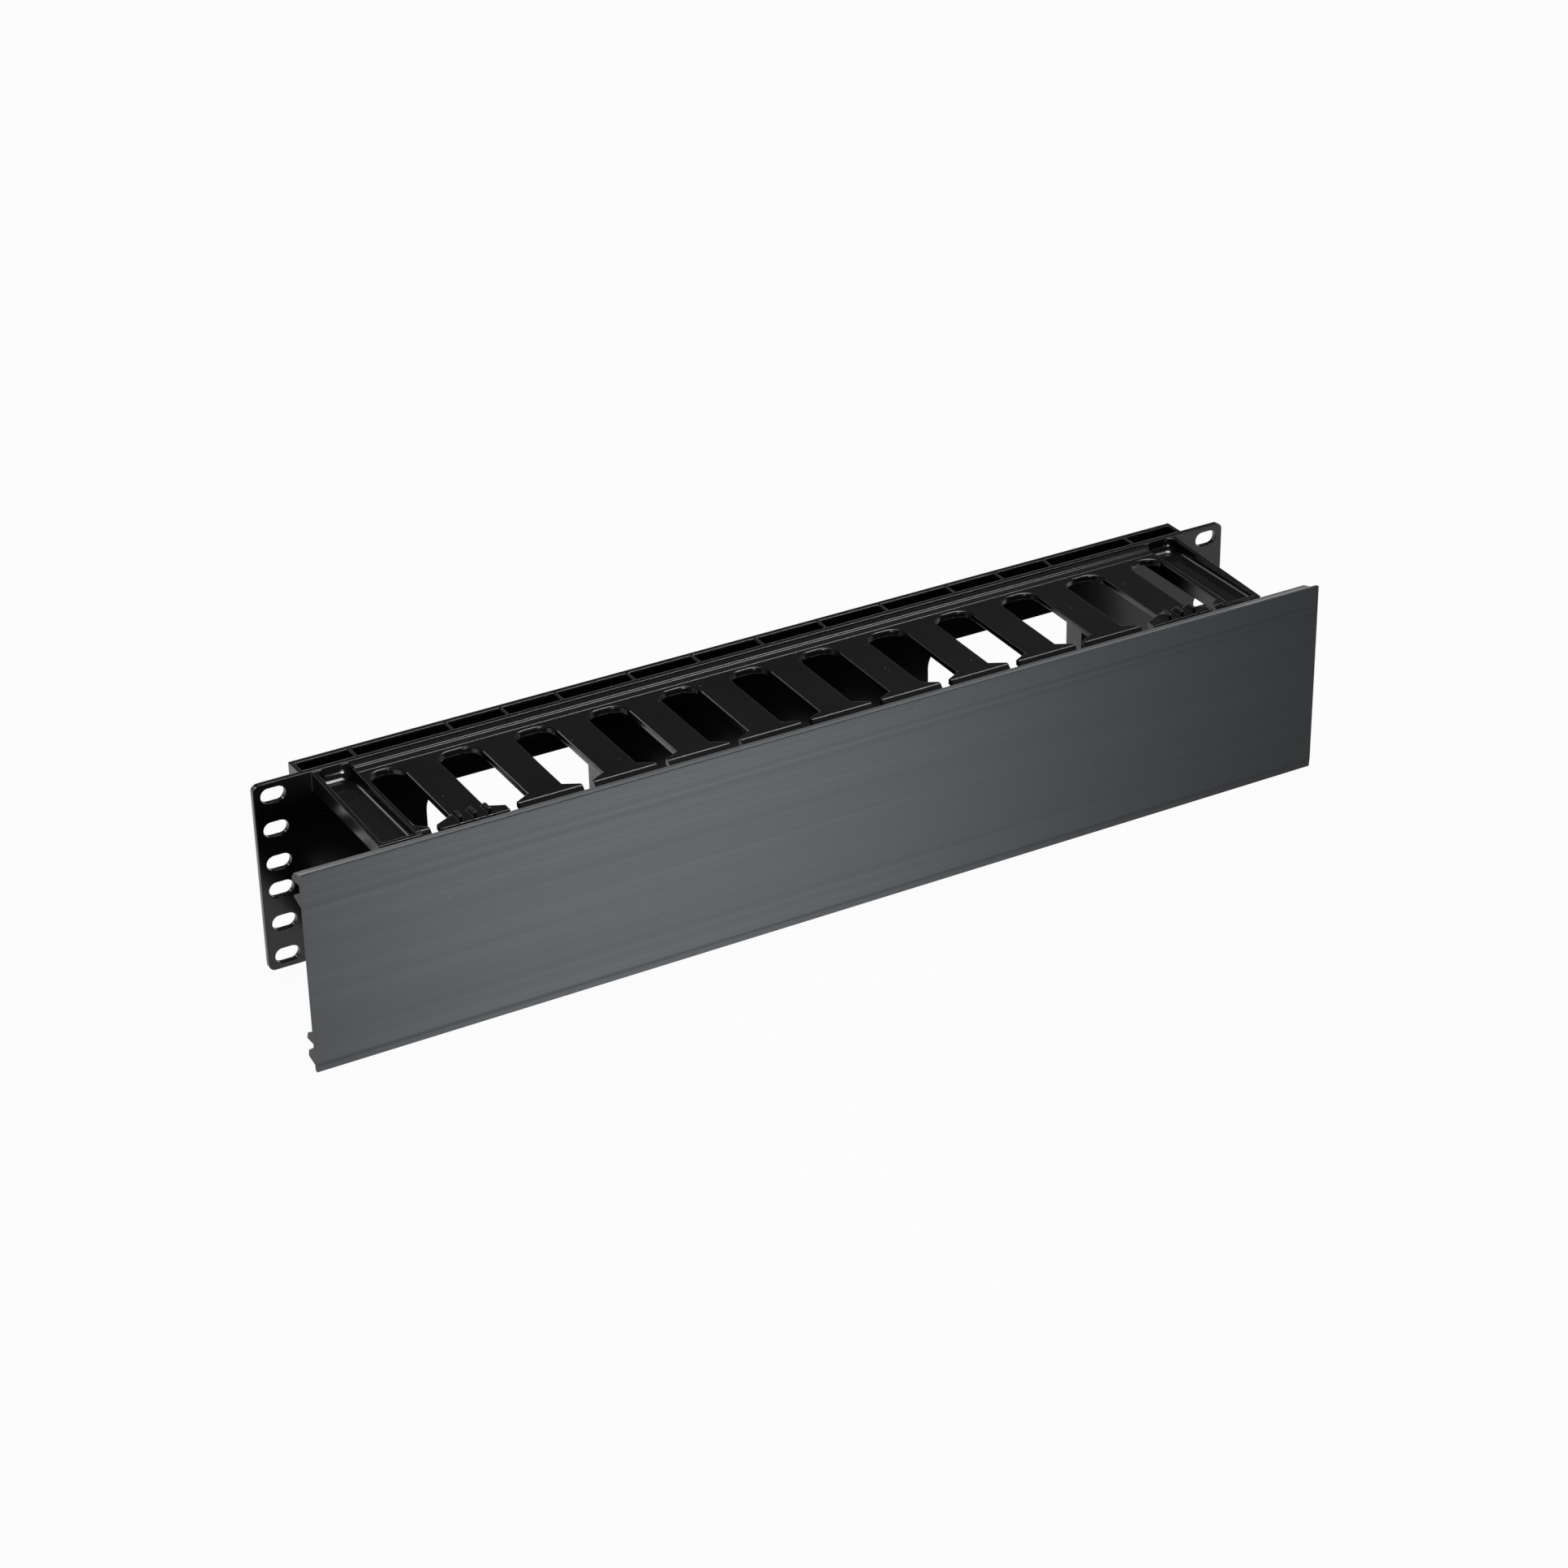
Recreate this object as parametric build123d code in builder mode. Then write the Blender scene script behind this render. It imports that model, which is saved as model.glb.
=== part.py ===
from build123d import *
import os

# Horizontal cable manager for a 19 inch rack, two units high.
# Millimetres. X runs to the right, Y to the rear and Z up. The origin is the centre of the rack
# slots, on the rear face of the ears, which is the face that meets the rack.

# Ear plate and its rack slots
panel_width = 482.6
panel_height = 88.1
panel_thickness = 2.5
panel_corner = 3.0
panel_clearance = 0.8
unit_count = 2
rack_hole_step = 15.875
ear_width = 26.1
ear_slot_inset = 8.75
ear_slot_length = 11.2
ear_slot_width = 7.0

# Stiffening plate behind the ear plate, and the ribs between the two
channel_depth = 7.5
rear_plate_thickness = 2.5
rear_plate_side = 4.8
channel_end_thickness = 1.8
rib_thickness = 1.2
middle_rib_step = 31.6
window_rib_step = 25.8
end_rib_inset = 26.2

# Pass-through windows
window_centre = 123.7
window_width = 82.4
window_height = 44.4
window_corner = 11.0
window_wall = 1.6

# Finger decks, one above and one below, which fall a little towards their front
deck_inset = 1.65
deck_thickness = 2.8
deck_depth = 64.55
deck_fall = 0.9
slot_chamfer = 0.5
finger_count = 11
finger_width = 15.9
fin_finger_shift = 0.7
end_slot_width = 15.45
slot_setback = 10.8
slot_corner = 7.2
neck_gap = 5.2
end_neck_gap = 3.8
end_neck_inset = 4.3
neck_setback = 1.85
flare_length = 3.55

# Raised ledge along the foot of each deck
ledge_rise = 1.2
ledge_depth = 4.1
ledge_step = 0.7
ledge_ramp = 3.6
ledge_edge_round = 0.35
groove_width = 0.4
ledge_end_gap = 0.4

# Finger tips, which the cover clips over
apron_length = 2.0
apron_drop = 1.9
shoulder_length = 4.85
nose_length = 2.3
nose_drop = 2.7
nose_face = 2.0
nose_heel_drop = 0.9
nose_underside = 4.9
nose_root = 2.0

# Fins on the last whole finger at each end
fin_finger_reach = 3.05
fin_count = 3
fin_step = 6.45
fin_thickness = 1.2
fin_height = 3.0
fin_top_length = 5.1
fin_foot_length = 8.1
fin_setback = 0.5

# Hollowed end fingers
strip_width = 2.2
pocket_width = 14.9
end_wall = 2.0
end_wall_rise = 1.2
front_wall_drop = 0.7
pocket_depth = 5.1
pocket_round = 4.0
floor_ease = 0.4
pocket_floor = 2.3
pad_rise = 0.4
pad_inset = 4.3
pad_setback = 12.0

# Front cover and its fit on the finger tips
cover_length = 491.9
cover_shift = 8.8
cover_thickness = 2.2
hinge_forward = 0.3
hinge_clearance = 0.3
bead_radius = 1.0
hinge_to_face = 8.35
hinge_to_top = 4.65
crest_width = 0.5
crest_groove_width = 0.6
crest_groove_depth = 0.4
lip_slope_length = 7.0
lip_slope_drop = 1.6
lip_root_drop = 5.0
lip_trim = 3.0
roll_height = 4.5
roll_depth = 0.4

# Hooks on the inner face of the cover: where each starts, how far it reaches in, and its drops
upper_hook_below_top = 9.2
upper_hook_shoulder = 5.9
upper_hook_shoulder_drop = 2.9
upper_hook_reach = 6.8
upper_hook_tip_drop = 4.1
upper_hook_root_drop = 6.0
lower_hook_above_bottom = 18.3
lower_hook_shoulder = 5.0
lower_hook_shoulder_drop = 3.0
lower_hook_reach = 5.95
lower_hook_tip_drop = 6.0
lower_hook_root_drop = 5.7
bottom_hook_above_bottom = 10.9
bottom_hook_shoulder = 5.4
bottom_hook_shoulder_drop = 4.0
bottom_hook_reach = 5.95
bottom_hook_tip_drop = 7.0
bottom_hook_root_drop = 8.3

# Heights and depths that follow from the sizes above
plate_front = -panel_thickness
panel_top = panel_height / 2
deck_top = panel_top - deck_inset
deck_front = plate_front - deck_depth
deck_front_z = deck_top - deck_fall
tips_rear = deck_front + neck_setback
slab_low_z = deck_top - deck_fall - deck_thickness / 2
apron_front = deck_front - apron_length
shoulder_z = deck_front_z - apron_drop
shoulder_front = apron_front - shoulder_length
nose_front = shoulder_front - nose_length
nose_low_z = shoulder_z - nose_drop - nose_face
heel_z = nose_low_z - nose_heel_drop
heel_front = nose_front + nose_underside
front_wall_z = deck_front_z - front_wall_drop
floor_z = deck_top - pocket_depth
finger_low_z = floor_z - pocket_floor
channel_rear = channel_depth + rear_plate_thickness
rack_unit = (panel_height + panel_clearance) / unit_count
hinge_y = shoulder_front - hinge_forward
hinge_z = shoulder_z + bead_radius + hinge_clearance

# Places along the width, counted inwards from the sides of the ear plate
ear_slot_spacing = panel_width - 2 * ear_slot_inset
wall_outer = panel_width / 2 - ear_width
pocket_outer = wall_outer - end_wall
deck_side = pocket_outer - pocket_width
end_slot_outer = deck_side - strip_width
end_slot_inner = end_slot_outer - end_slot_width
end_neck_x = end_slot_outer - end_neck_inset - end_neck_gap / 2
fin_finger_x = end_slot_inner - finger_width / 2
finger_step = 2 * (fin_finger_x - fin_finger_shift) / (finger_count - 1)
rear_plate_half = wall_outer + rear_plate_side


# A slot between two fingers, narrowed to a neck by their flared tips, with Y counted from the plate
def slot_outline(inner, outer, neck_x, gap):
    corner = min(slot_corner, (outer - inner) / 2 - slot_chamfer)
    rear = -slot_setback
    neck_low = neck_x - gap / 2
    neck_high = neck_x + gap / 2
    neck_rear = neck_setback - deck_depth
    flare_start = neck_rear + flare_length
    past_tips = nose_front - plate_front - neck_gap
    with BuildSketch() as outline:
        with BuildLine():
            Line((inner + corner, rear), (outer - corner, rear))
            RadiusArc((outer - corner, rear), (outer, rear - corner), corner)
            Polyline(
                (outer, rear - corner),
                (outer, flare_start),
                (neck_high, neck_rear),
                (neck_high, past_tips),
                (neck_low, past_tips),
                (neck_low, neck_rear),
                (inner, flare_start),
                (inner, rear - corner),
            )
            RadiusArc((inner, rear - corner), (inner + corner, rear), corner)
        make_face()
    return outline.sketch


finger_places = [(index - (finger_count - 1) / 2) * finger_step for index in range(finger_count)]
finger_places[0] = -fin_finger_x
finger_places[-1] = fin_finger_x
slot_spans = []
for index in range(finger_count - 1):
    start = finger_places[index] + finger_width / 2
    end = finger_places[index + 1] - finger_width / 2
    neck = (index + 1 - finger_count / 2) * finger_step
    slot_spans.append((start, end, neck, neck_gap))
slot_spans.append((end_slot_inner, end_slot_outer, end_neck_x, end_neck_gap))
slot_spans.append((-end_slot_outer, -end_slot_inner, -end_neck_x, end_neck_gap))

# Slab of the deck on its falling plane, longer at the fin fingers, with its slots and their eased edges
deck_plane = Plane((0, plate_front, deck_top), x_dir=(1, 0, 0), z_dir=(0, -deck_fall, deck_depth))
fin_finger_depth = deck_depth + fin_finger_reach
with BuildPart() as deck_slab:
    with BuildSketch(deck_plane):
        with Locations((0, -deck_depth / 2)):
            Rectangle(2 * deck_side, deck_depth)
        with Locations((0, -fin_finger_depth / 2)):
            with GridLocations(2 * fin_finger_x, 1, 2, 1):
                Rectangle(finger_step + fin_finger_shift, fin_finger_depth)
        for span in slot_spans:
            add(slot_outline(*span), mode=Mode.SUBTRACT)
    extrude(amount=-deck_thickness)
    top_edges = deck_slab.faces().sort_by(Axis.Z)[-1].edges()
    in_depth = top_edges.filter_by_position(Axis.Y, tips_rear, plate_front - slot_setback / 2)
    slot_rims = in_depth.filter_by_position(Axis.X, -deck_side + strip_width / 2, deck_side - strip_width / 2)
    chamfer(slot_rims, slot_chamfer)

# Ledge that runs along the foot of the deck
ledge_top = deck_top + ledge_rise
ledge_front = plate_front - ledge_depth - groove_width
ledge_foot = deck_top - deck_thickness / 2
with BuildPart() as ledge:
    with BuildSketch(Plane.YZ.offset(-deck_side + ledge_end_gap)):
        with BuildLine():
            Polyline(
                (plate_front - groove_width, ledge_foot),
                (plate_front - groove_width, ledge_top),
                (ledge_front, ledge_top),
                (ledge_front, ledge_top - ledge_step),
                (ledge_front - ledge_ramp, deck_top - deck_fall * ledge_ramp / deck_depth),
                (ledge_front - ledge_ramp, ledge_foot),
                close=True,
            )
        make_face()
    extrude(amount=2 * (deck_side - ledge_end_gap))
    fillet(ledge.edges().filter_by(Axis.X).group_by(Axis.Z)[-1], ledge_edge_round)

# Profile of the finger tips, seen from the side, drawn along the whole deck and cut at the necks
with BuildPart() as tips:
    with BuildSketch(Plane.YZ.offset(-wall_outer)):
        with BuildLine():
            Polyline(
                (tips_rear, slab_low_z),
                (deck_front, deck_front_z),
                (apron_front, shoulder_z),
                (shoulder_front, shoulder_z),
                (nose_front, shoulder_z - nose_drop),
                (nose_front, nose_low_z),
                (heel_front, heel_z),
                (heel_front + nose_root, heel_z),
                close=True,
            )
        make_face()
    extrude(amount=2 * wall_outer)
    with BuildSketch(Plane.XY.offset(heel_z)):
        for start, end, neck, gap in slot_spans:
            with Locations((neck, (tips_rear + nose_front) / 2)):
                Rectangle(gap, tips_rear - nose_front)
    extrude(amount=deck_top - heel_z, mode=Mode.SUBTRACT)
    with BuildSketch(Plane.XY.offset(front_wall_z)):
        for side in (-1, 1):
            with Locations((side * (end_slot_outer + wall_outer) / 2, deck_front)):
                Rectangle(wall_outer - end_slot_outer, 2 * apron_length)
    extrude(amount=deck_top - front_wall_z, mode=Mode.SUBTRACT)

# Space inside the hollow top of an end finger, with rounded inner corners
pocket_length = deck_depth + apron_length - end_wall
with BuildPart() as pocket:
    with BuildSketch(Plane.XY.offset(floor_z)):
        with Locations((deck_side + pocket_width / 2, plate_front - pocket_length / 2)):
            Rectangle(pocket_width, pocket_length)
    extrude(amount=2 * pocket_depth)
    fillet(pocket.edges().filter_by(Axis.Z).group_by(Axis.Y)[-1], pocket_round)
    fillet(pocket.edges().filter_by(Axis.Y).group_by(Axis.Z)[0], pocket_round - floor_ease)

# Right end finger: a channel closed at the front, whose outer wall falls towards the front
with BuildPart() as end_finger:
    with BuildSketch(Plane.YZ.offset(deck_side)):
        with BuildLine():
            Polyline(
                (plate_front, finger_low_z),
                (plate_front, deck_top + end_wall_rise),
                (apron_front, front_wall_z),
                (apron_front, finger_low_z),
                close=True,
            )
        make_face()
    extrude(amount=wall_outer - deck_side)
    with BuildSketch(Plane.YZ.offset(end_slot_outer)):
        with BuildLine():
            Polyline(
                (plate_front, finger_low_z),
                (plate_front, slab_low_z),
                (deck_front, slab_low_z),
                (deck_front, front_wall_z),
                (apron_front, front_wall_z),
                (apron_front, finger_low_z),
                close=True,
            )
        make_face()
    extrude(amount=strip_width)

# Raised pad on the floor of an end finger, which runs into its front wall and its outer wall
pad_left = deck_side + pad_inset
pad_rear = plate_front - pad_setback
pad_right = pocket_outer + end_wall / 2
pad_front = apron_front + end_wall / 2
with BuildPart() as pad:
    with BuildSketch(Plane.XY.offset(floor_z - pocket_floor / 2)):
        with Locations(((pad_left + pad_right) / 2, (pad_rear + pad_front) / 2)):
            Rectangle(pad_right - pad_left, pad_rear - pad_front)
    extrude(amount=pocket_floor / 2 + pad_rise)

# Fins that stand on the last whole finger and stop the cover when it is swung up
fin_front = deck_front - fin_finger_reach + fin_setback
fin_low_z = deck_front_z - deck_thickness / 2
fin_high_z = deck_front_z + fin_height
with BuildPart() as fins:
    for index in range(fin_count):
        fin_x = fin_finger_x + (index - (fin_count - 1) / 2) * fin_step
        with BuildSketch(Plane.YZ.offset(fin_x - fin_thickness / 2)):
            with BuildLine():
                Polyline(
                    (fin_front, fin_low_z),
                    (fin_front, fin_high_z),
                    (fin_front + fin_top_length, fin_high_z),
                    (fin_front + fin_foot_length, deck_front_z),
                    (fin_front + fin_foot_length, fin_low_z),
                    close=True,
                )
            make_face()
        extrude(amount=fin_thickness)

# The upper row of fingers, from its slab, ledge, tips and end fingers
with BuildPart() as upper_row:
    add(deck_slab.part)
    add(ledge.part)
    add(tips.part)
    for detail, how in ((end_finger, Mode.ADD), (pocket, Mode.SUBTRACT), (pad, Mode.ADD), (fins, Mode.ADD)):
        add(detail.part, mode=how)
        mirror(detail.part, about=Plane.YZ, mode=how)

# The one-piece base: ear plate, channel with its ribs, windows and both rows of fingers
rib_places = [
    0,
    middle_rib_step,
    2 * middle_rib_step,
    window_centre - window_rib_step,
    window_centre,
    window_centre + window_rib_step,
    rear_plate_half - end_rib_inset,
]
with BuildPart() as base:
    with BuildSketch(Plane.XZ):
        RectangleRounded(panel_width, panel_height, panel_corner)
        for unit in range(unit_count):
            unit_z = (unit - (unit_count - 1) / 2) * rack_unit
            with Locations((0, unit_z)):
                with GridLocations(ear_slot_spacing, rack_hole_step, 2, 3):
                    SlotOverall(ear_slot_length, ear_slot_width, mode=Mode.SUBTRACT)
    extrude(amount=panel_thickness)
    with BuildSketch(Plane.XZ.offset(-channel_rear)):
        Rectangle(2 * rear_plate_half, panel_height)
    extrude(amount=rear_plate_thickness)
    with BuildSketch(Plane.XZ.offset(-channel_depth)):
        for place in rib_places:
            for side in (-1, 1):
                with Locations((side * place, 0)):
                    Rectangle(rib_thickness, panel_height)
        for side in (-1, 1):
            with Locations((side * (rear_plate_half - channel_end_thickness / 2), 0)):
                Rectangle(channel_end_thickness, panel_height)
            with Locations((side * window_centre, 0)):
                RectangleRounded(
                    window_width + 2 * window_wall,
                    window_height + 2 * window_wall,
                    window_corner + window_wall,
                )
    extrude(amount=channel_depth)
    with BuildSketch(Plane.XZ.offset(-channel_rear)):
        with GridLocations(2 * window_centre, 1, 2, 1):
            RectangleRounded(window_width, window_height, window_corner)
    extrude(amount=channel_rear + panel_thickness, mode=Mode.SUBTRACT)
    add(upper_row.part)
    mirror(upper_row.part, about=Plane.XY)

os.makedirs("parts", exist_ok=True)
base.part.label = "base"
export_step(base.part, "parts/base.step")

# The extruded front cover, drawn as its end profile
face_y = hinge_y - hinge_to_face
inner_y = face_y + cover_thickness
cover_top = hinge_z + hinge_to_top
cover_bottom = -cover_top
crest_end = face_y + crest_width + crest_groove_width
crest_middle = face_y + crest_width + crest_groove_width / 2


# The four corners of a hook on the inner face, from its upper root to its lower root
def hook(top_z, shoulder, shoulder_drop, reach, tip_drop, root_drop):
    return [
        (inner_y, top_z),
        (inner_y + shoulder, top_z - shoulder_drop),
        (inner_y + reach, top_z - tip_drop),
        (inner_y, top_z - root_drop),
    ]


upper_hook = hook(
    cover_top - upper_hook_below_top,
    upper_hook_shoulder,
    upper_hook_shoulder_drop,
    upper_hook_reach,
    upper_hook_tip_drop,
    upper_hook_root_drop,
)
lower_hook = hook(
    cover_bottom + lower_hook_above_bottom,
    lower_hook_shoulder,
    lower_hook_shoulder_drop,
    lower_hook_reach,
    lower_hook_tip_drop,
    lower_hook_root_drop,
)
bottom_hook = hook(
    cover_bottom + bottom_hook_above_bottom,
    bottom_hook_shoulder,
    bottom_hook_shoulder_drop,
    bottom_hook_reach,
    bottom_hook_tip_drop,
    bottom_hook_root_drop,
)
cover_left = -cover_shift - cover_length / 2
with BuildPart() as front_cover:
    with BuildSketch(Plane.YZ.offset(cover_left)):
        with BuildLine():
            Polyline(
                (face_y, cover_top),
                (face_y + crest_width, cover_top),
                (crest_middle, cover_top - crest_groove_depth),
                (crest_end, cover_top),
                (face_y + lip_slope_length, cover_top - lip_slope_drop),
                (hinge_y + bead_radius, hinge_z),
                (hinge_y, hinge_z - bead_radius),
                (inner_y, cover_top - lip_root_drop),
                *upper_hook,
                *lower_hook,
                *bottom_hook,
                (inner_y, cover_bottom),
                (face_y + roll_depth, cover_bottom),
                (face_y, cover_bottom + roll_height),
                close=True,
            )
        make_face()
        with Locations((hinge_y, hinge_z)):
            Circle(bead_radius)
    extrude(amount=cover_length)
    with BuildSketch(Plane.YZ.offset(cover_left + cover_length - lip_trim)):
        with Locations((inner_y, hinge_z - 2 * bead_radius)):
            Rectangle(hinge_to_face, hinge_to_top + 2 * bead_radius, align=(Align.MIN, Align.MIN))
    extrude(amount=lip_trim, mode=Mode.SUBTRACT)

front_cover.part.label = "front_cover"
export_step(front_cover.part, "parts/front_cover.step")
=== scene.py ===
# %% [markdown]
# A horizontal cable manager for a 19 inch rack: a black moulded base with two rows of flared fingers,
# and a long extruded cover that clips over the finger tips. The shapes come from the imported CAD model.
# This file gives them their finish, and sets up the camera, the floor and the light.

# %% Load the frame
import math
import bpy
from mathutils import Matrix, Vector


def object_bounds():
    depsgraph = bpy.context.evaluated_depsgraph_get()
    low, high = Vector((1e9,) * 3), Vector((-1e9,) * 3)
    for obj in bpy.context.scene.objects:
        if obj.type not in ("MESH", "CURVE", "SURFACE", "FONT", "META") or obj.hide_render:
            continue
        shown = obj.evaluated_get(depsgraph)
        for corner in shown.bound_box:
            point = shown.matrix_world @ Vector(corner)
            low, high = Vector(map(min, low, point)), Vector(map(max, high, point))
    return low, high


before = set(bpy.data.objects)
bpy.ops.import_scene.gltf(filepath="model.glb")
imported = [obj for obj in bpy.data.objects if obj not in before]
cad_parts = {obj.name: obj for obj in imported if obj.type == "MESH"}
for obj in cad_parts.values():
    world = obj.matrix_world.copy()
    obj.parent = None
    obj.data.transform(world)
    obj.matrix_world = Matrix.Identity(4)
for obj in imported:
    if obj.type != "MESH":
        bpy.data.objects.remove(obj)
cad_low, cad_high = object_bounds()
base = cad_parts["base"]
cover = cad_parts["front_cover"]
print("CAD box", [round(v, 4) for v in cad_low], [round(v, 4) for v in cad_high])

# %% [markdown]
# The camera stands to the upper left of the front, far away with a long lens, as in the photograph.
# Its place was worked out from the rack slots, whose real distances are standard.
# A camera can be aimed with a constraint, but a matrix from three angles also holds its slight roll.

# %% Camera
IMAGE_SIZE = 1932
FOCAL_PIXELS = 4817.3
CAMERA_AZIMUTH = math.radians(-29.205)
CAMERA_ELEVATION = math.radians(28.781)
CAMERA_ROLL = math.radians(-1.179)
CAMERA_PLACE = Vector((-0.73501, -1.33065, 0.80979))


def aimed_matrix(place, azimuth, elevation, roll):
    """A camera's world matrix from its place and its three angles."""
    back = Vector((
        math.sin(azimuth) * math.cos(elevation),
        -math.cos(azimuth) * math.cos(elevation),
        math.sin(elevation),
    ))
    level_right = Vector((math.cos(azimuth), math.sin(azimuth), 0))
    level_up = back.cross(level_right)
    right = level_right * math.cos(roll) + level_up * math.sin(roll)
    up = back.cross(right)
    turn = Matrix((right, up, back)).transposed()
    return Matrix.Translation(place) @ turn.to_4x4()


camera_data = bpy.data.cameras.new("camera")
camera_data.sensor_width = 36
camera_data.lens = FOCAL_PIXELS * camera_data.sensor_width / IMAGE_SIZE
camera = bpy.data.objects.new("camera", camera_data)
camera.matrix_world = aimed_matrix(CAMERA_PLACE, CAMERA_AZIMUTH, CAMERA_ELEVATION, CAMERA_ROLL)
bpy.context.collection.objects.link(camera)
bpy.context.scene.camera = camera
print("lens", round(camera_data.lens, 2), "mm")

# %% [markdown]
# Every finish here is a few nodes of arithmetic. They could be laid out by hand in the shader editor,
# but written as Python sums they can be read and changed in one place. One small class wraps a socket
# and turns the operators into Math nodes.

# %% Shader arithmetic
class Signal:
    """A number that varies over a surface, with Python's operators."""

    def __init__(self, tree, socket):
        self.tree = tree
        self.socket = socket

    def maths(self, operation, *values):
        node = self.tree.nodes.new("ShaderNodeMath")
        node.operation = operation
        for place, value in enumerate(values):
            if isinstance(value, Signal):
                self.tree.links.new(value.socket, node.inputs[place])
            else:
                node.inputs[place].default_value = value
        return Signal(self.tree, node.outputs[0])

    def __add__(self, other):
        return self.maths("ADD", self, other)

    def __radd__(self, other):
        return self.maths("ADD", other, self)

    def __sub__(self, other):
        return self.maths("SUBTRACT", self, other)

    def __rsub__(self, other):
        return self.maths("SUBTRACT", other, self)

    def __mul__(self, other):
        return self.maths("MULTIPLY", self, other)

    def __rmul__(self, other):
        return self.maths("MULTIPLY", other, self)

    def __truediv__(self, other):
        return self.maths("DIVIDE", self, other)

    def __rtruediv__(self, other):
        return self.maths("DIVIDE", other, self)

    def __pow__(self, other):
        return self.maths("POWER", self, other)

    def __rpow__(self, other):
        return self.maths("POWER", other, self)

    def __abs__(self):
        return self.maths("ABSOLUTE", self)

    def above(self, floor):
        return self.maths("MAXIMUM", self, floor)

    def __lt__(self, other):
        return self.maths("LESS_THAN", self, other)

    def __gt__(self, other):
        return self.maths("GREATER_THAN", self, other)


# %% [markdown]
# Nodes other than Math all come from one method, which sets a node's options first and then fills or
# links its sockets. The same helper works for the materials and for the sky, because both are trees.

# %% Node trees
RAY_KINDS = ("Is Camera Ray", "Is Glossy Ray", "Is Transmission Ray")


class Craft:
    """A node tree, and a way to add nodes to it."""

    def __init__(self, tree):
        self.tree = tree

    def node(self, kind, settings=None, **sockets):
        made = self.tree.nodes.new(kind)
        for key, value in (settings or {}).items():
            setattr(made, key, value)
        for key, value in sockets.items():
            self.fill(made.inputs[key.replace("_", " ")], value)
        return made

    def fill(self, socket, value):
        if isinstance(value, Signal):
            value = value.socket
        if isinstance(value, bpy.types.NodeSocket):
            self.tree.links.new(value, socket)
        else:
            socket.default_value = value

    def signal(self, socket):
        return Signal(self.tree, socket)

    def rays(self):
        """Whether a ray comes from the camera, and whether it was mirrored or bent on the object."""
        path = self.node("ShaderNodeLightPath")
        kinds = [self.signal(path.outputs[name]) for name in RAY_KINDS]
        return kinds[0], kinds[1] + kinds[2]


# %% [markdown]
# A finish is a material tree with a few habits: noise that can be stretched, specks, a mix of two
# colours, and relief. Object coordinates are in metres from the part's origin, so a noise scale of
# 1000 gives grain of about a millimetre.

# %% Finishes
class Finish(Craft):
    """A material with its Principled shader."""

    def __init__(self, name):
        self.material = bpy.data.materials.new(name)
        self.material.use_nodes = True
        super().__init__(self.material.node_tree)
        self.shader = self.tree.nodes["Principled BSDF"]
        self.place = self.node("ShaderNodeTexCoord").outputs["Object"]

    def noise(self, scale, detail=3.0, stretch=(1, 1, 1), roughness=0.5):
        place = self.node("ShaderNodeMapping", Vector=self.place, Scale=stretch).outputs[0]
        made = self.node("ShaderNodeTexNoise", Vector=place, Scale=scale, Detail=detail, Roughness=roughness)
        return self.signal(made.outputs[0])

    def specks(self, scale, size, share):
        """Round specks: one in each cell of a Voronoi pattern, kept only in a share of the cells."""
        cells = self.node("ShaderNodeTexVoronoi", Vector=self.place, Scale=scale)
        chance = self.node("ShaderNodeSeparateColor", Color=cells.outputs["Color"])
        near = self.signal(cells.outputs["Distance"]) < size
        return near * (self.signal(chance.outputs[0]) < share)

    def mixed(self, factor, first, second):
        made = self.node("ShaderNodeMix", {"data_type": "RGBA"})
        self.fill(made.inputs[0], factor)
        self.fill(made.inputs[6], first)
        self.fill(made.inputs[7], second)
        return made.outputs[2]

    def feed(self, **sockets):
        for key, value in sockets.items():
            self.fill(self.shader.inputs[key.replace("_", " ")], value)

    def relief(self, height, distance, edge_radius):
        """Bumps over edges that are slightly rounded, where each catches a thin line of light."""
        edges = self.node("ShaderNodeBevel", {"samples": 8}, Radius=edge_radius)
        bumps = self.node("ShaderNodeBump", Height=height, Distance=distance, Normal=edges.outputs[0])
        self.feed(Normal=bumps.outputs[0])


# %% [markdown]
# The base is injection-moulded in black plastic. Its skin is smooth and glossy with a very fine grain,
# and every edge is rounded a little, as in any mould. A bevel on the mesh would change the CAD shape,
# so a Bevel node bends the light there instead. Dust is a sprinkle of tiny pale specks.

# %% Moulded plastic
MOULD_EDGE = 0.0006
MOULD_RELIEF = 0.00001
MOULD_DARK = (0.0018, 0.0019, 0.0021, 1)
MOULD_PALE = (0.0032, 0.0033, 0.0037, 1)
DUST_GREY = (0.12, 0.12, 0.12, 1)


def moulded_black():
    finish = Finish("moulded_black_plastic")
    clouds = finish.noise(18, detail=4)
    flow = finish.noise(7, detail=5, stretch=(1, 3, 3), roughness=0.6)
    grain = finish.noise(2600, detail=2)
    dust = finish.specks(420, 0.09, 0.05)
    finish.feed(
        Base_Color=finish.mixed(dust, finish.mixed(clouds, MOULD_DARK, MOULD_PALE), DUST_GREY),
        Roughness=0.11 + clouds * 0.08 + flow * 0.07 + grain * 0.03 + dust * 0.3,
        Specular_IOR_Level=0.45,
    )
    finish.relief(flow * 0.8 + grain * 0.2, MOULD_RELIEF, MOULD_EDGE)
    return finish.material
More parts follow.
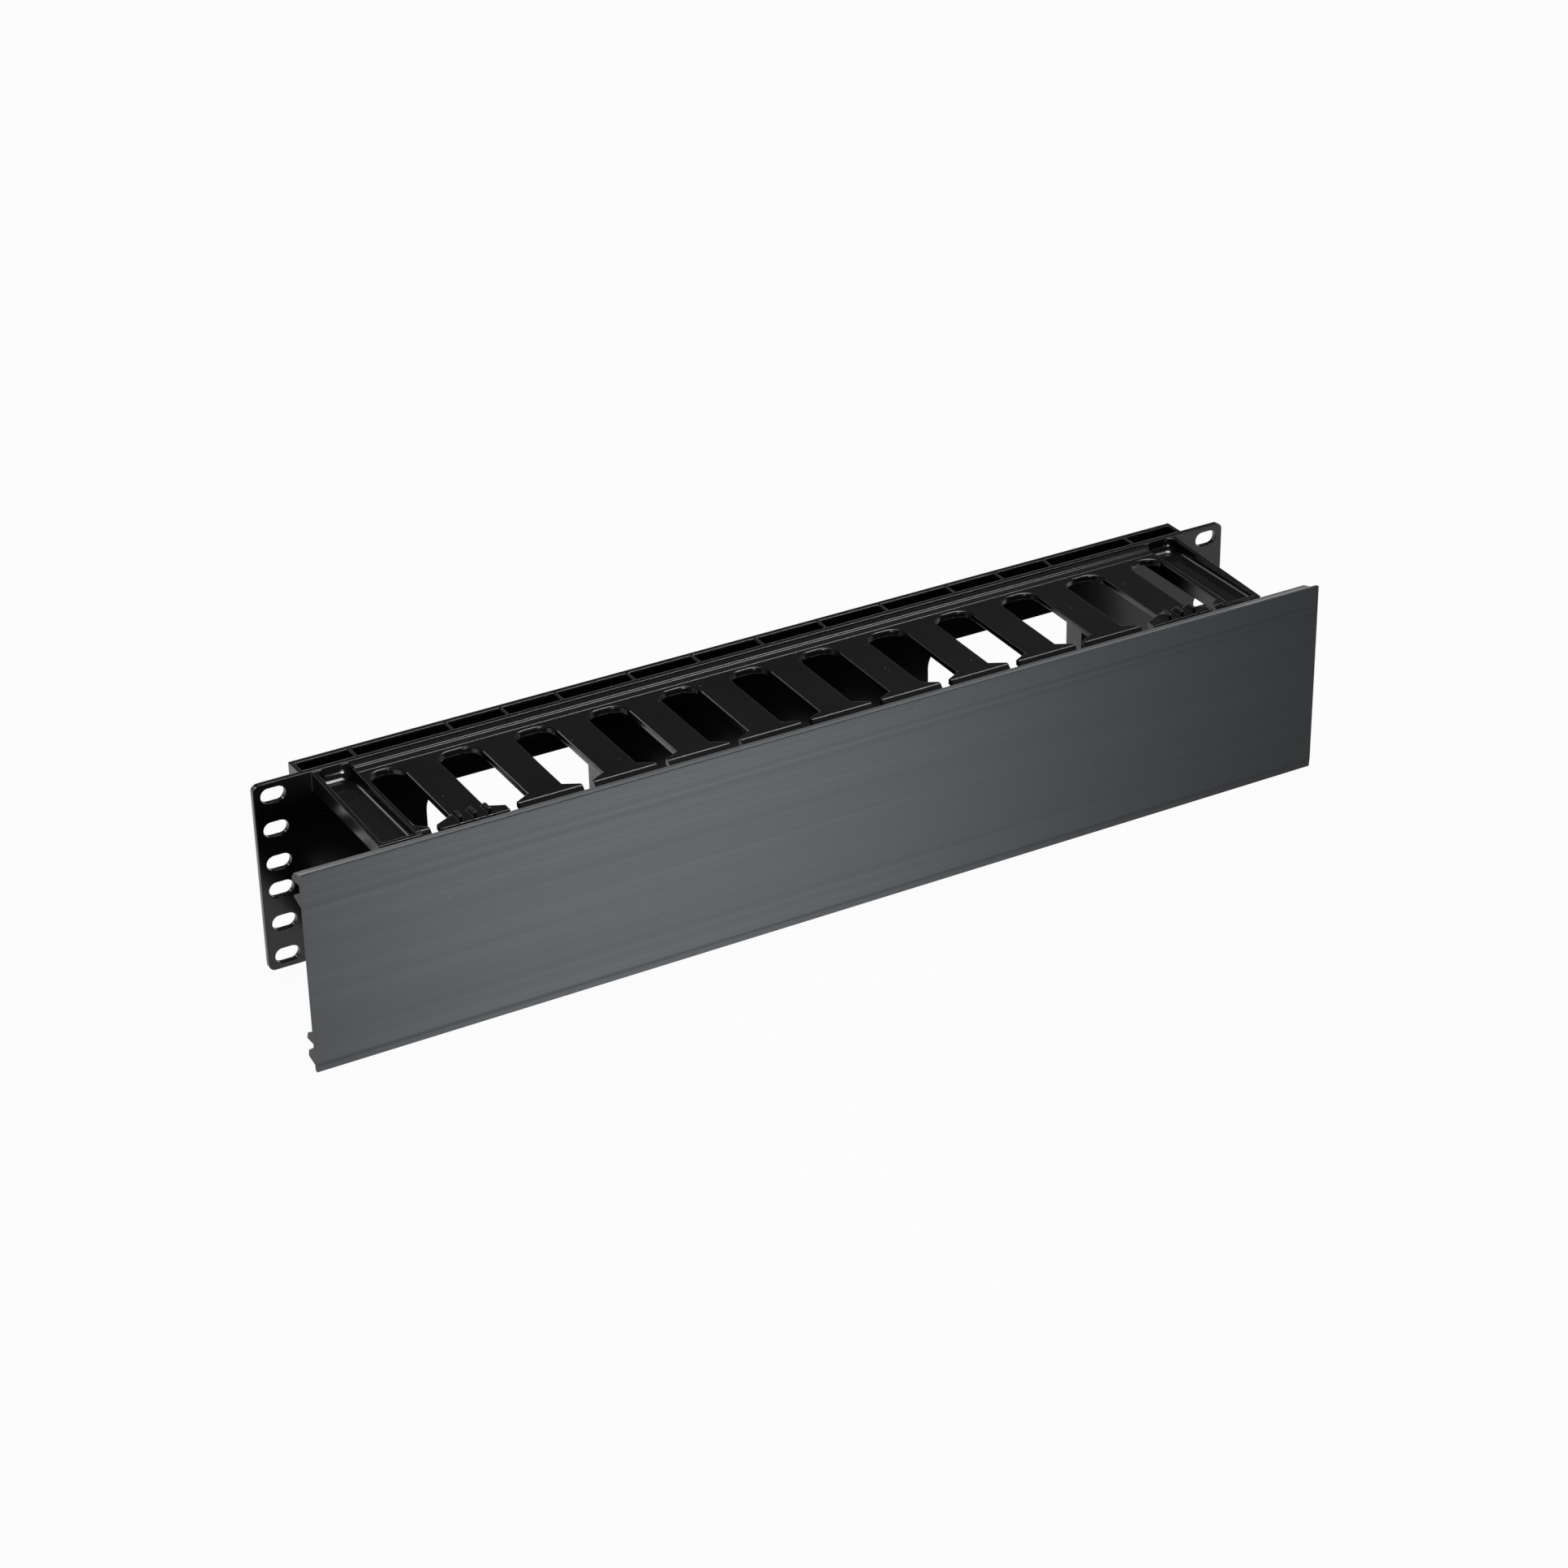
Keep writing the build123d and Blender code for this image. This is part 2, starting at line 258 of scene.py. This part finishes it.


# %% [markdown]
# The cover is extruded, so every mark on it runs along its length: noise that is squeezed across the
# length gives streaks of tone, gloss and height. Soft dark bands of painted shade are put into the colour:
# at the sink marks opposite the hooks, and along the die line above the rolled lower edge, where the
# reflection darkens. Each band is given by its height, its reach and its depth. The die polishes the crest
# along the top.
#
# A few hair-thin scratches cross the streaks: the line where a slow noise passes its middle value is
# thin and curved like one. They end above the die line.

# %% Extruded plastic
EXTRUSION_EDGE = 0.00013
EXTRUSION_RELIEF = 0.00003
EXTRUSION_DARK = (0.021, 0.0232, 0.0248, 1)
EXTRUSION_PALE = (0.042, 0.046, 0.0492, 1)
SCRATCH_GREY = (0.3, 0.29, 0.28, 1)
CREST_FOOT = 0.0448
SCRATCH_FOOT = -0.036
SCRATCH_WIDTH = 0.0016
# Painted shade: each band darkens the colour at a height, over a reach, by a depth, where the reflection
# darkens.
PAINTED_SHADE_BANDS = ((0.0362, 0.0016, 0.3), (0.0318, 0.002, 0.35), (-0.0285, 0.0022, 0.2), (-0.0422, 0.0011, 1.0))


def extruded_black():
    finish = Finish("extruded_black_plastic")
    height = finish.signal(finish.node("ShaderNodeSeparateXYZ", Vector=finish.place).outputs["Z"])
    # Painted shade in the colour: soft dark bands at the sink marks opposite the hooks and above the rolled
    # lower edge.
    painted_shade = sum((1 - ((height - centre) / reach) ** 2).above(0) * depth for centre, reach, depth in PAINTED_SHADE_BANDS)
    bands = finish.noise(1.6, detail=3, stretch=(0.4, 1, 70))
    streaks = finish.noise(3.0, detail=6, stretch=(0.8, 1, 260), roughness=0.65)
    fine = finish.noise(6.0, detail=4, stretch=(1, 1, 900))
    clouds = finish.noise(9, detail=3)
    path = finish.noise(5.5, detail=1.5, stretch=(1, 1, 0.6))
    kept = finish.noise(14, detail=1) > 0.6
    scratch = (abs(path - 0.5) < SCRATCH_WIDTH) * kept * (height > SCRATCH_FOOT)
    dust = finish.specks(260, 0.05, 0.03)
    # The colour mixes random bands and streaks with the painted shade bands.
    streaks_and_painted_shade = (0.5 + (bands - 0.5) * 0.55 + (streaks - 0.5) * 0.8 - painted_shade * 0.6).above(0)
    polish = (height > CREST_FOOT) * 0.2
    tone_with_painted_shade = finish.mixed(streaks_and_painted_shade, EXTRUSION_DARK, EXTRUSION_PALE)
    finish.feed(
        Base_Color=finish.mixed(scratch * 0.4 + dust * 0.4, tone_with_painted_shade, SCRATCH_GREY),
        Roughness=0.36 + streaks * 0.12 + clouds * 0.06 + scratch * 0.1 - polish,
        Specular_IOR_Level=0.18,
    )
    finish.relief(streaks * 0.5 + fine * 0.5 - scratch * 0.5, EXTRUSION_RELIEF, EXTRUSION_EDGE)
    return finish.material


# %% [markdown]
# Each CAD node wears one material. A node can hold several and give each face its own, but a moulding
# and an extrusion come out of their tools in one plastic.

# %% Put the finishes on
def dress(node, material):
    node.data.materials.clear()
    node.data.materials.append(material)
    print(node.name, "wears", material.name)


dress(base, moulded_black())
dress(cover, extruded_black())

# %% [markdown]
# The floor is a wide plain sheet. The photograph's ground is pure white, so rays from the camera, and
# those mirrored by the gloss, see a floor that glows partly by itself. Its diffuse part still takes
# the object's shadow, and the object gets no more light from it.

# %% Floor
FLOOR_HALF = 40.0
FLOOR_GAP = 0.0001
FLOOR_GLOW = 0.96
WHITE = (1, 1, 1, 1)

floor_height = cad_low.z - FLOOR_GAP
corners = [(x * FLOOR_HALF, y * FLOOR_HALF, floor_height) for x, y in ((-1, -1), (1, -1), (1, 1), (-1, 1))]
floor_mesh = bpy.data.meshes.new("floor")
floor_mesh.from_pydata(corners, [], [(0, 1, 2, 3)])
floor = bpy.data.objects.new("floor", floor_mesh)
bpy.context.collection.objects.link(floor)

floor_finish = Finish("pale_floor")
floor_finish.feed(Base_Color=(0.2, 0.2, 0.2, 1), Roughness=0.9)
by_camera, mirrored = floor_finish.rays()
glow = floor_finish.node("ShaderNodeEmission", Color=WHITE, Strength=1.0)
blend = floor_finish.node("ShaderNodeMixShader", Fac=(by_camera + mirrored) * FLOOR_GLOW)
floor_finish.fill(blend.inputs[1], floor_finish.shader.outputs[0])
floor_finish.fill(blend.inputs[2], glow.outputs[0])
floor_finish.fill(floor_finish.tree.nodes["Material Output"].inputs["Surface"], blend.outputs[0])
floor_mesh.materials.append(floor_finish.material)
print("floor at", round(floor_height, 4), "m")

# %% [markdown]
# Four soft panels light the object. One stands in front with a narrow beam that is aimed left of the
# middle, so that the long cover is brightest there and falls off to the right. One hangs overhead and
# one small one stands at the back left: these two draw the lines along the rounded edges. The fourth
# fills the back. Their strength is given as brightness, because a lamp's watts mean little until they
# are divided by its area.

# %% Light panels
def soft_panel(name, place, target, size, brightness, spread=180):
    data = bpy.data.lights.new(name, "AREA")
    data.spread = math.radians(spread)
    data.shape = "RECTANGLE"
    data.size, data.size_y = size
    data.energy = brightness * math.pi * size[0] * size[1]
    panel = bpy.data.objects.new(name, data)
    panel.location = place
    panel.rotation_euler = (Vector(target) - Vector(place)).to_track_quat("-Z", "Y").to_euler()
    panel.visible_camera = False
    bpy.context.collection.objects.link(panel)
    print(name, "has", round(data.energy, 1), "W")


soft_panel("front_panel", (-0.3, -1.0, 0.08), (-0.09, -0.08, 0), size=(0.3, 0.3), brightness=4.9, spread=33)
soft_panel("top_panel", (0.42, 0.08, 1.3), (0, 0, 0), size=(0.8, 0.85), brightness=15)
soft_panel("back_panel", (-0.1, 1.6, 0.35), (0, 0, 0), size=(0.8, 0.6), brightness=3.5)
soft_panel("rim_panel", (-0.9, 1.3, 0.7), (0, 0, 0), size=(0.26, 0.26), brightness=5)

# %% [markdown]
# The camera sees a white sky. What the object mirrors is white at the horizon only and dark grey
# higher up, so that its glossy decks look dark from above. The sky follows the direction alone.

# %% Sky
HORIZON_LOW = 0.08
HORIZON_HIGH = 0.22
HIGH_SKY = 0.06
DIFFUSE_SHARE = 0.2

world = bpy.data.worlds.new("sky")
world.use_nodes = True
bpy.context.scene.world = world
sky = Craft(world.node_tree)
direction = sky.node("ShaderNodeTexCoord").outputs["Generated"]
ramp = sky.node(
    "ShaderNodeMapRange",
    {"interpolation_type": "SMOOTHSTEP"},
    Value=sky.node("ShaderNodeSeparateXYZ", Vector=direction).outputs["Z"],
    From_Min=HORIZON_LOW,
    From_Max=HORIZON_HIGH,
    To_Min=1.0,
    To_Max=HIGH_SKY,
)
by_camera, mirrored = sky.rays()
lit = sky.signal(ramp.outputs[0]) * (DIFFUSE_SHARE + mirrored * (1 - DIFFUSE_SHARE))
background = world.node_tree.nodes["Background"]
sky.fill(background.inputs["Color"], WHITE)
sky.fill(background.inputs["Strength"], by_camera + (1 - by_camera) * lit)
bpy.context.scene.view_settings.view_transform = "Standard"
print("the sky is set")
